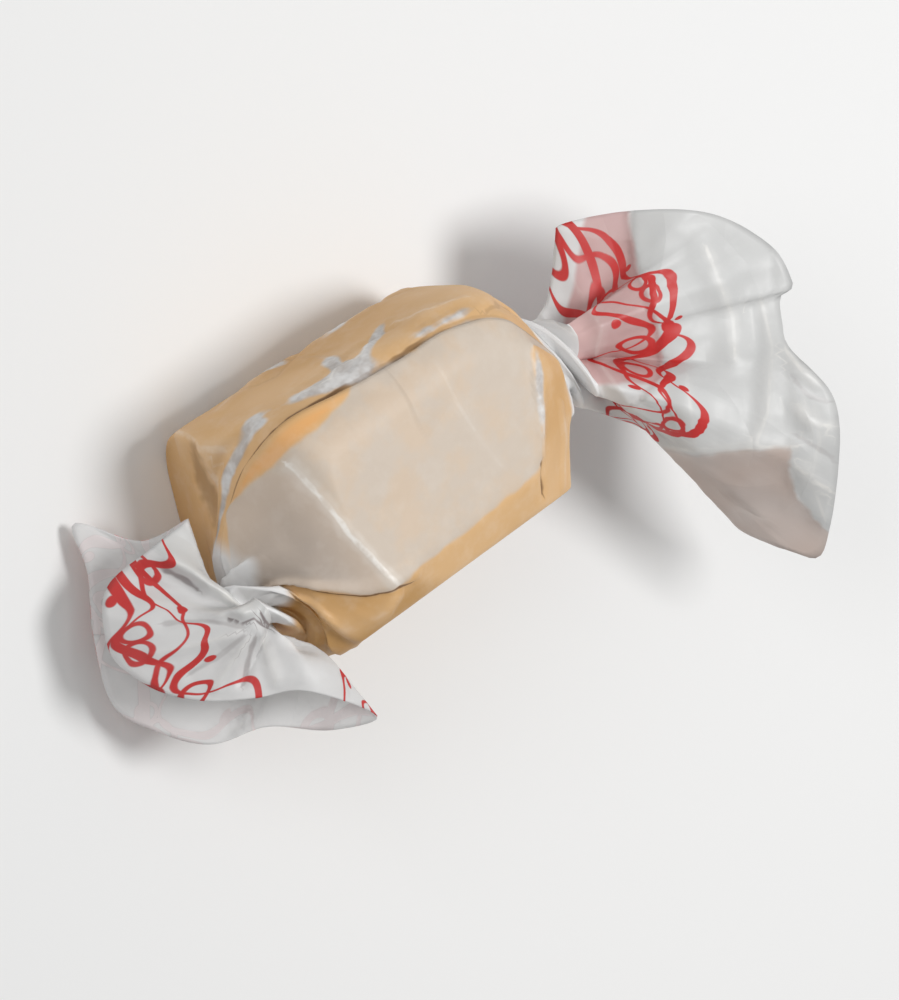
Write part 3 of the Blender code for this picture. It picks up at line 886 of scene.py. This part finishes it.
class Graph:
    # A node tree, with short ways to add nodes that are joined to each other
    def __init__(self, tree):
        self.tree = tree

    def join(self, value, socket):
        if isinstance(value, bpy.types.NodeSocket):
            self.tree.links.new(value, socket)
        else:
            socket.default_value = value

    def add(self, kind, inputs=(), **settings):
        node = self.tree.nodes.new(kind)
        for name, value in settings.items():
            setattr(node, name, value)
        for name, value in dict(inputs).items():
            self.join(value, node.inputs[name])
        return node

    def math(self, kind, *values):
        return self.add("ShaderNodeMath", enumerate(values), operation=kind).outputs[0]

    def times(self, first, second):
        return self.math("MULTIPLY", first, second)

    def plus(self, first, second):
        return self.math("ADD", first, second)

    def minus(self, first, second):
        return self.math("SUBTRACT", first, second)

    def size(self, value):
        return self.math("ABSOLUTE", value)

    def scaled(self, value, factor, more):
        return self.math("MULTIPLY_ADD", value, factor, more)

    def chain(self, kind, values):
        total = values[0]
        for value in values[1:]:
            total = self.math(kind, total, value)
        return total

    def vector(self, kind, inputs, output="Vector"):
        return self.add("ShaderNodeVectorMath", inputs, operation=kind).outputs[output]

    def mix(self, share, first, second):
        inputs = {0: share, 6: first, 7: second}
        return self.add("ShaderNodeMix", inputs, data_type="RGBA").outputs[2]

    def attribute(self, name):
        return self.add("ShaderNodeAttribute", attribute_name=name).outputs["Fac"]

    def noise(self, vector, scale, detail=2.0, roughness=0.5, output="Fac", **settings):
        inputs = {"Vector": vector, "Scale": scale, "Detail": detail, "Roughness": roughness}
        return self.add("ShaderNodeTexNoise", inputs, **settings).outputs[output]

    def ramp(self, value, low, high, start=0.0, end=1.0):
        inputs = {"Value": value, "From Min": low, "From Max": high, "To Min": start,
                  "To Max": end}
        return self.add("ShaderNodeMapRange", inputs, interpolation_type="SMOOTHSTEP").outputs[0]

    def group(self, tree, inputs=()):
        return self.add("ShaderNodeGroup", inputs, node_tree=tree).outputs[0]

    def bump(self, height, strength, distance):
        inputs = {"Height": height, "Strength": strength, "Distance": distance}
        return self.add("ShaderNodeBump", inputs).outputs[0]


def newGroup(name, values, output, kind="ShaderNodeTree"):
    # A node group with named values and one output: its graph, its values and where it ends
    tree = bpy.data.node_groups.new(name, kind)
    sockets = [("INPUT", *each) for each in values.items()] + [("OUTPUT", output, None)]
    for way, label, value in sockets:
        carries = "NodeSocketGeometry" if label == "Geometry" else "NodeSocketFloat"
        socket = tree.interface.new_socket(name=label, in_out=way, socket_type=carries)
        if value is not None:
            socket.default_value = value
    given = tree.nodes.new("NodeGroupInput").outputs
    return Graph(tree), given, tree.nodes.new("NodeGroupOutput").inputs[0]


def crinkleTree(material):
    values = {"Geometry": None, **crinkles, "Seed": 3.0}
    graph, given, result = newGroup("paper crinkles", values, "Geometry", "GeometryNodeTree")
    graph.tree.is_modifier = True
    position = graph.add("GeometryNodeInputPosition").outputs[0]
    place = graph.vector("SCALE", {0: position, "Scale": 1 / mm})
    loose = graph.add("GeometryNodeInputNamedAttribute", {"Name": "leavesSweet"},
                      data_type="FLOAT").outputs["Attribute"]
    rest = graph.minus(1.0, given["Body share"])
    share = graph.scaled(loose, rest, given["Body share"])
    heights = []
    for size in ("Broad", "Fine"):
        inputs = {"Vector": place, "W": given["Seed"], "Scale": given[size + " scale"],
                  "Detail": 1.0}
        noise = graph.add("ShaderNodeTexNoise", inputs, noise_dimensions="4D").outputs["Fac"]
        # A crinkle is a sharp line where the noise passes its middle
        sharp = graph.times(graph.size(graph.minus(noise, 0.5)), crinkleSteep)
        heights.append(graph.times(graph.minus(crinkleFoot, sharp), given[size + " depth"]))
    height = graph.times(graph.chain("ADD", heights), share)
    normal = graph.add("GeometryNodeInputNormal").outputs[0]
    offset = graph.vector("SCALE", {0: normal, "Scale": height})
    inputs = {"Geometry": given["Geometry"], "Offset": offset}
    moved = graph.add("GeometryNodeSetPosition", inputs).outputs[0]
    real = graph.add("GeometryNodeRealizeInstances", {"Geometry": moved}).outputs[0]
    inputs = {"Geometry": real, "Material": material}
    graph.join(graph.add("GeometryNodeSetMaterial", inputs).outputs[0], result)
    return graph.tree


def madeMesh(piece, name):
    # The piece with its modifiers as a plain mesh of its own
    bpy.context.view_layer.update()
    state = bpy.context.evaluated_depsgraph_get()
    mesh = bpy.data.meshes.new_from_object(
        piece.evaluated_get(state), preserve_all_data_layers=True, depsgraph=state
    )
    mesh.name = name
    made = addObject(name, mesh)
    bpy.data.objects.remove(piece, do_unlink=True)
    return made


# Finish of the paper. Colours are linear.
paperFinish = {
    "caramel": (0.720, 0.455, 0.220, 1),
    "caramelDeep": (0.600, 0.345, 0.130, 1),
    "pale": (0.592, 0.502, 0.412, 1),
    "paleWarm": (0.622, 0.494, 0.372, 1),
    "panel": (0.610, 0.500, 0.405, 1),
    # The near panel's colour with painted shade, towards its lower end
    "panelLow": (0.485, 0.407, 0.343, 1),
    "wedge": (0.800, 0.423, 0.155, 1),
    "shaded": (0.440, 0.235, 0.065, 1),
    # The grey of paper standing off the sweet, mixed darker and lighter as painted shade and
    # painted glints of its crumples
    "greyDeep": (0.490, 0.450, 0.420, 1),
    "greyLight": (0.700, 0.690, 0.680, 1),
    "white": (0.800, 0.795, 0.790, 1),
    "doubled": (0.618, 0.620, 0.612, 1),
    "pink": (0.640, 0.400, 0.385, 1),
    # Painted shade of the right fan's lower panel, which is turned away from the light
    "lower": (0.540, 0.420, 0.360, 1),
    # Whitened wax, in flecks and along creases, and the painted highlight along ridges
    "crease": (0.930, 0.900, 0.850, 1),
    # Painted shade in the folds: on the sweet and in the crack under the outer edge, then in the
    # fans
    "fold": (0.170, 0.078, 0.022, 1),
    "gather": (0.200, 0.150, 0.150, 1),
    "red": (0.580, 0.028, 0.026, 1),
    "redThrough": (0.620, 0.160, 0.150, 1),
    # A ridge's pale line is whitened wax with a painted highlight, its wider faint glow is
    # painted sheen, and a fold's dark line is painted shade
    "ridgeWidth": 0.22,  # mm to each side of a ridge that is pale
    "paintedRidgeSheen": 0.70,  # and fainter
    "foldWidth": 0.28,
    "ragged": 1.1,  # of a line's width
    "full": 0.25,
    "outsideAlpha": 0.68,
    "insideAlpha": 0.74,
    "whiteAlpha": 0.93,
    "printAlpha": 0.90,
    "coat": 0.05,
    "coatRough": 0.25,
    "rough": 0.56,
    "roughLoose": -0.08,
    "roughRidge": -0.25,
    "bumpDepth": 1.2 * mm,
    "tightFolds": 0.21,  # how much of the folds shows where the paper is drawn tight
    "grain": 0.02,
    "crumpled": 0.32,  # how much grain is added where the paper stands off the sweet
    "denseLower": 0.7,
}
# The noises that the finish is mixed by: scale in folds a metre, detail and roughness
paperNoises = {
    "mottle": (260.0, 3.0, 0.6),
    "blotch": (450.0, 3.0, 0.65),
    "ragged": (900.0, 1.0),
    "uneven": (380.0, 2.0, 0.55),
    "cloud": (90.0, 2.0),
    "grain": (850.0, 1.0),
}
# How far the border of each mask wanders, and how soft it is
borders = {
    "paleLayer": (0.26, 0.06),
    "nearPanel": (0.10, 0.12),
    "liftedOff": (0.95, 0.18),
    "leavesSweet": (0.22, 0.30),
    "fanWhite": (0.10, 0.07),
    "fanLowerShaded": (0.35, 0.07),
    "fanPink": (0.20, 0.08),
}
# Ramps of a noise or of the way out in a fan: between which values, and from what to what
ramps = {
    "caramel": (0.35, 0.65),
    "pale": (0.40, 0.65),
    "flecks": (0.42, 0.70, 0.0, 0.09),
    "grey": (0.36, 0.64),
    "lower": (0.35, 0.65, 0.95, 0.60),
    "whitenedAndGlinting": (0.38, 0.62, 0.22, 1.0),
    "gathered": (0.0, 0.02),
    "printed": (0.02, 0.10),
    "clear": (0.04, 0.30),
    "patchy": (0.35, 0.65, -0.04, 0.05),
}
# How much of its colour a layer lays over those before it
layerShows = {"shaded": 0.7, "pink": 0.90, "paintedRidgeSheen": 0.22, "ridge": 0.8, "fold": 0.9}


def borderGroup():
    # A border that wanders: where a smooth value, moved by noise, passes a half
    values = {"Value": 0.5, "Noise": 0.5, "Wander": 0.3, "Softness": 0.08}
    graph, given, result = newGroup("wandering border", values, "Mask")
    centred = graph.minus(given["Noise"], 0.5)
    moved = graph.scaled(centred, given["Wander"], given["Value"])
    low = graph.minus(0.5, given["Softness"])
    high = graph.plus(0.5, given["Softness"])
    graph.join(graph.ramp(moved, low, high), result)
    return graph.tree


# The print: wavy ribbons that cross, thick and thin, with rings and dots between them. Sizes
# are in centimetres of the flat sheet.
printLook = {
    "Middle": 3.12,  # how far from the middle of the sheet the ribbons run
    "Swing": 0.22,
    "Length": 1.60,
    "Thin": 0.018,
    "Thick": 0.040,
}
# How the print is bent: by a noise of this scale and detail, and by how much either way
printNoise, printWarp = (1.3, 1.0), (0.30, 0.50, 0.0)
printEdge = (-0.004, 0.008)
# Each ribbon: waves for each length, phase, swing, offset from the middle line, where it is
# thick
ribbons = (
    (1.0, 0.0, 1.0, 0.04, 0.9),
    (1.5, 2.3, -1.0, -0.08, 3.7),
    (2.5, 4.4, 0.55, 0.20, 5.6),
    (2.0, 1.1, 0.50, 0.32, 2.2),
)
# Each ring or dot: its place (out from the middle line, across), its size, its line's width
spots = (
    ((0.02, 0.24), 0.120, 0.028),
    ((-0.16, 0.62), 0.050, None),
    ((0.34, 0.50), 0.042, None),
    ((0.20, 0.86), 0.085, 0.022),
)
spotFold = 0.95  # the rings and dots are mirrored at this distance across


def printGroup():
    graph, given, result = newGroup("red print", printLook, "Print")
    flat = graph.add("ShaderNodeUVMap", uv_map="flatSheet").outputs[0]
    warp = graph.noise(flat, *printNoise, output="Color", noise_dimensions="2D")
    bent = graph.vector("MULTIPLY_ADD", {0: warp, 1: printWarp, 2: flat})
    along, across = graph.add("ShaderNodeSeparateXYZ", {0: bent}).outputs[:2]
    # Both ends carry the band, so the distance is counted from the middle either way
    away = graph.minus(graph.size(along), given["Middle"])
    turns = graph.times(graph.math("DIVIDE", across, given["Length"]), 2 * math.pi)
    edges = []
    for waves, phase, swing, offset, thickPhase in ribbons:
        wave = graph.math("SINE", graph.scaled(turns, waves, phase))
        height = graph.times(wave, graph.times(given["Swing"], swing))
        gap = graph.minus(away, graph.plus(height, offset))
        swell = graph.math("SINE", graph.scaled(turns, waves, thickPhase))
        swell = graph.math("POWER", graph.scaled(swell, 0.5, 0.5), 2.0)
        width = graph.scaled(swell, given["Thick"], given["Thin"])
        edges.append(graph.minus(width, graph.size(gap)))
    fold = graph.math("PINGPONG", graph.plus(across, 10 * spotFold), spotFold)
    cell = graph.add("ShaderNodeCombineXYZ", {0: away, 1: fold}).outputs[0]
    for (out, beside), size, line in spots:
        distance = graph.vector("DISTANCE", {0: cell, 1: (out, beside, 0)}, "Value")
        if line:
            distance = graph.size(graph.minus(distance, size))
            size = line
        edges.append(graph.minus(size, distance))
    masks = [graph.ramp(edge, *printEdge) for edge in edges]
    graph.join(graph.chain("MAXIMUM", masks), result)
    return graph.tree


# Straight creases of the paper: way they run in degrees, how far apart in cm of the flat
# sheet, where they start, and their share of the depth
crumples = (
    (14, 0.62, 0.10, 0.34),
    (76, 0.81, 0.45, 0.30),
    (133, 0.47, 0.75, 0.22),
)
crumpleLook = {
    "warp": 0.35,
    "warpNoise": (0.9, 0.0),
    "comesNoise": (0.75, 0.0),  # a crease comes and goes by this noise
    "comes": (0.38, 0.62),
    "shift": (7, 3),  # which each crease reads elsewhere
    "aside": 20,  # keeps the places that the creases are counted by above zero
}


def crumpleGroup():
    # Heights of long sharp creases that bend a little and come and go
    look = crumpleLook
    graph, given, result = newGroup("paper creases", {"Warp": look["warp"]}, "Height")
    flat = graph.add("ShaderNodeUVMap", uv_map="flatSheet").outputs[0]
    warp = graph.noise(flat, *look["warpNoise"], output="Color")
    amount = graph.vector("SCALE", {0: warp, "Scale": given["Warp"]})
    bent = graph.vector("ADD", {0: flat, 1: amount})
    heights = []
    for turn, spacing, start, weight in crumples:
        turn = math.radians(turn)
        way = (math.cos(turn) / spacing, math.sin(turn) / spacing, 0)
        along = graph.vector("DOT_PRODUCT", {0: bent, 1: way}, "Value")
        fold = graph.math("PINGPONG", graph.plus(along, start + look["aside"]), 1.0)
        shift = (look["shift"][0] * start, look["shift"][1] * start, 0)
        elsewhere = graph.vector("ADD", {0: flat, 1: shift})
        comes = graph.ramp(graph.noise(elsewhere, *look["comesNoise"]), *look["comes"])
        heights.append(graph.times(graph.times(fold, comes), weight))
    graph.join(graph.chain("ADD", heights), result)
    return graph.tree


def newMaterial(name):
    material = bpy.data.materials.new(name)
    material.use_nodes = True
    return material, Graph(material.node_tree)


def setSurface(graph, values):
    for name, value in values.items():
        graph.join(value, graph.tree.nodes["Principled BSDF"].inputs[name])


def paperMaterial(name, outside, border, strokes, creases):
    look = paperFinish
    material, graph = newMaterial(name)
    mix, times, ramp, attribute = graph.mix, graph.times, graph.ramp, graph.attribute
    place = graph.add("ShaderNodeTexCoord").outputs["Object"]
    noise = {each: graph.noise(place, *values) for each, values in paperNoises.items()}
    cloud, blotch = noise["cloud"], noise["blotch"]
    ragged = graph.minus(noise["ragged"], 0.5)

    def bordered(mask):
        wander, softness = borders[mask]
        return graph.group(border, {"Value": attribute(mask), "Noise": noise["uneven"],
                                    "Wander": wander, "Softness": softness})

    def creaseLine(kind, width):
        # A ragged line of a ridge or a fold, from the strength and the gap kept on the sheet: a
        # ridge's line is whitened wax with a painted highlight, a fold's is painted shade
        gap = graph.size(attribute("gap" + kind))
        gap = graph.scaled(ragged, look["ragged"] * width, gap)
        line = ramp(gap, look["full"] * width, width, 1.0, 0.0)
        return times(line, attribute("strength" + kind))

    fan, loose = attribute("fanPart"), attribute("leavesSweet")
    white, lower = bordered("fanWhite"), bordered("fanLowerShaded")
    # A ridge is pale, as whitened wax with a painted highlight, more so in places by noise
    ridge = times(creaseLine("Ridge", look["ridgeWidth"]), ramp(blotch, *ramps["whitenedAndGlinting"]))
    stroke = times(graph.group(strokes), ramp(fan, *ramps["printed"]))
    # Each share, and the colour that it lays over those before it
    layers = (
        (times(attribute("shadedEnd"), layerShows["shaded"]), look["shaded"]),
        (attribute("clings"), look["wedge"]),
        (bordered("paleLayer"),
         mix(ramp(noise["mottle"], *ramps["pale"]), look["pale"], look["paleWarm"])),
        # The near end's panel, with painted shade towards its lower end
        (bordered("nearPanel"), mix(attribute("panelShade"), look["panel"], look["panelLow"])),
        # Faint pale blotches of the wax
        (ramp(blotch, *ramps["flecks"]), look["crease"]),
        # Paper standing off the sweet is grey, mottled by noise into painted shade and painted
        # glints of its crumples
        (bordered("liftedOff"),
         mix(ramp(blotch, *ramps["grey"]), look["greyDeep"], look["greyLight"])),
        (bordered("leavesSweet"), look["white"]),
        (white, look["doubled"]),
        # Painted shade on the right fan's lower panel, uneven by noise
        (times(lower, ramp(cloud, *ramps["lower"])), look["lower"]),
        (times(bordered("fanPink"), layerShows["pink"]), look["pink"]),
        # Painted highlight along the ridges: a faint wide sheen, then the pale line of whitened
        # wax and highlight
        (times(creaseLine("Ridge", look["paintedRidgeSheen"]), layerShows["paintedRidgeSheen"]), look["crease"]),
        (times(ridge, layerShows["ridge"]), look["crease"]),
        # Painted shade along the folds and under the outer edge, a darker one on the sweet than
        # in the fans
        (times(creaseLine("Fold", look["foldWidth"]), layerShows["fold"]),
         mix(ramp(fan, *ramps["gathered"]), look["fold"], look["gather"])),
        (stroke if outside else times(stroke, attribute("inkShows")),
         look["red" if outside else "redThrough"]),
    )
    colour = mix(ramp(cloud, *ramps["caramel"]), look["caramel"], look["caramelDeep"])
    for share, over in layers:
        colour = mix(share, colour, over)
    clear = look["outsideAlpha" if outside else "insideAlpha"]
    dense = graph.math("MAXIMUM", white, times(lower, look["denseLower"]))
    clear = graph.scaled(dense, look["whiteAlpha"] - clear, clear)
    gone = graph.minus(clear, 1.0)
    alpha = graph.scaled(ramp(fan, *ramps["clear"]), gone, 1.0)
    rough = graph.scaled(loose, look["roughLoose"], look["rough"])
    rough = graph.plus(ramp(blotch, *ramps["patchy"]), rough)
    # Long sharp creases over a fine grain, slight where the paper is drawn tight
    tight = look["tightFolds"]
    folds = times(graph.group(creases), graph.scaled(loose, 1 - tight, tight))
    grain = graph.scaled(attribute("liftedOff"), look["crumpled"], look["grain"])
    height = graph.scaled(noise["grain"], grain, folds)
    setSurface(graph, {
        "Base Color": colour,
        "Alpha": graph.math("MAXIMUM", alpha, times(stroke, look["printAlpha"])),
        "Roughness": graph.scaled(ridge, look["roughRidge"], rough),
        "Coat Weight": look["coat"],
        "Coat Roughness": look["coatRough"],
        "Normal": graph.bump(height, 1.0, look["bumpDepth"]),
    })
    return material


print("mixing the finishes")
groups = borderGroup(), printGroup(), crumpleGroup()
outsideFinish = paperMaterial("waxed paper outside", True, *groups)
insideFinish = paperMaterial("waxed paper inside", False, *groups)

print("crinkling the paper")
folder = paper.modifiers.new("crinkles", "NODES")
folder.node_group = crinkleTree(outsideFinish)
crinkled = madeMesh(paper, "crinkledSheet")
crinkled.data.materials.clear()
crinkled.data.materials.append(outsideFinish)
crinkled.data.materials.append(insideFinish)
wall = crinkled.modifiers.new("paper thickness", "SOLIDIFY")
wall.thickness = sheet["thickness"]
wall.offset = -1
wall.material_offset = 1
wrapper = madeMesh(crinkled, "wrapperPaper")
print("paper faces", len(wrapper.data.polygons))


# The sweet inside, soft, and how it looks
coreLook = {
    "rings": 90,
    "sides": 120,
    "inset": 0.55 * mm,  # how far it stays inside the flats of the paper
    "lowest": 0.15 * mm,
    "caramel": (0.60, 0.36, 0.13, 1),
    "caramelDeep": (0.50, 0.27, 0.085, 1),
    "pulled": (140.0, 3.0),  # the scale and the detail of its streaks
    "streaks": (0.35, 0.65),
    "rough": 0.38,
    "coat": 0.2,
    "bump": 0.4,
    "bumpDepth": 0.3 * mm,
}


def buildSweet(material):
    rings, sides = coreLook["rings"], coreLook["sides"]
    halfLength, rise = sweet["length"] / 2, sweet["height"] / 2
    across, upward = outlineAt(
        np.arange(sides) / sides, sweet["roundPower"], sweet["width"] / 2, rise
    )
    loops = []
    for ring in range(1, rings):
        angle = math.pi * (ring / rings - 0.5)
        along = float(signedPower(math.sin(angle), 2 / sweet["endPower"]))
        shrink = math.cos(angle) ** (2 / sweet["endPower"])
        lean = sweet["lean"] * min(along, 0.0) ** 2 / rise
        y, z = across * shrink, upward * shrink
        x = along * halfLength + sweet["shift"] + lean * z
        loops.append(np.stack([x, y, z + middleHeight], axis=1))
    poles = [(way * halfLength + sweet["shift"], 0, middleHeight) for way in (-1, 1)]
    points = cutFlats(np.vstack(loops + [poles]), coreLook["inset"], 1.0)
    points[:, 2] = np.maximum(points[:, 2], coreLook["lowest"])
    faces = []
    last, first, end = (rings - 2) * sides, len(points) - 2, len(points) - 1
    for near in range(0, last, sides):
        for side in range(sides):
            far, beside = near + sides, (side + 1) % sides
            faces.append((near + side, near + beside, far + beside, far + side))
    for side in range(sides):
        beside = (side + 1) % sides
        faces.append((beside, side, first))
        faces.append((last + side, last + beside, end))
    mesh = newMesh("sweet", points.tolist(), faces)
    mesh.shade_smooth()
    mesh.materials.append(material)
    return addObject("softTaffy", mesh)


def sweetMaterial():
    material, graph = newMaterial("soft taffy")
    place = graph.add("ShaderNodeTexCoord").outputs["Object"]
    pulled = graph.noise(place, *coreLook["pulled"])
    deeper = graph.ramp(pulled, *coreLook["streaks"])
    setSurface(graph, {
        "Base Color": graph.mix(deeper, coreLook["caramel"], coreLook["caramelDeep"]),
        "Roughness": coreLook["rough"],
        "Coat Weight": coreLook["coat"],
        "Normal": graph.bump(pulled, coreLook["bump"], coreLook["bumpDepth"]),
    })
    return material


print("shaping the sweet")
core = buildSweet(sweetMaterial())

for piece, node, slot in ((wrapper, "wrapper", "waxed_paper"), (core, "taffy", "taffy")):
    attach(piece, "root")
    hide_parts(node)


# The photograph's view: its direction, and how the picture is turned
view = {
    "toward": Vector((-0.5, 0.324, 0.803)),
    "right": Vector((0.7006, -0.3938, 0.5953)),
    "target": Vector((3.2, -5.3, 8.6)) * mm,
    "distance": 1.0,
    "widthSeen": 66 * mm,
    "sensor": 36.0,
    "nearest": 0.01,
}
# The lights: the way to each, its distance, its size and its power
lights = {
    "key": ((0.34, -0.03, 0.93), 0.30, 0.12, 0.57),
    "fill": ((-0.60, 0.62, 0.50), 0.45, 0.30, 0.42),
}
room = {"sky": 0.36, "floorHalf": 1.5, "floorColour": (0.86, 0.86, 0.855, 1)}


def addCamera():
    data = bpy.data.cameras.new("camera")
    camera = addObject("camera", data)
    back = view["toward"].normalized()
    right = (view["right"] - view["right"].dot(back) * back).normalized()
    up = back.cross(right)
    turn = Matrix((right, up, back)).transposed().to_4x4()
    camera.matrix_world = Matrix.Translation(view["target"] + back * view["distance"]) @ turn
    data.sensor_fit = "HORIZONTAL"
    data.sensor_width = view["sensor"]
    data.lens = view["sensor"] * view["distance"] / view["widthSeen"]
    data.clip_start = view["nearest"]
    bpy.context.scene.camera = camera


def addLight(name, direction, distance, size, power):
    data = bpy.data.lights.new(name, "AREA")
    data.shape = "DISK"
    data.size = size
    data.energy = power
    light = addObject(name, data)
    direction = Vector(direction).normalized()
    light.location = view["target"] + direction * distance
    light.rotation_euler = direction.to_track_quat("Z", "Y").to_euler()


def addRoom():
    world = bpy.data.worlds.new("studio")
    bpy.context.scene.world = world
    world.use_nodes = True
    sky = world.node_tree.nodes["Background"]
    sky.inputs["Color"].default_value = (1, 1, 1, 1)
    sky.inputs["Strength"].default_value = room["sky"]
    half = room["floorHalf"]
    corners = [(-half, -half, 0), (half, -half, 0), (half, half, 0), (-half, half, 0)]
    mesh = newMesh("floor", corners, [(0, 1, 2, 3)])
    material, graph = newMaterial("pale floor")
    graph.tree.nodes.remove(graph.tree.nodes["Principled BSDF"])
    matt = graph.add("ShaderNodeBsdfDiffuse", {"Color": room["floorColour"]}).outputs[0]
    graph.join(matt, graph.tree.nodes["Material Output"].inputs["Surface"])
    mesh.materials.append(material)
    floor = addObject("floor", mesh)


addCamera()
for name, settings in lights.items():
    addLight(name, *settings)
addRoom()
bpy.context.scene.view_settings.view_transform = "Standard"
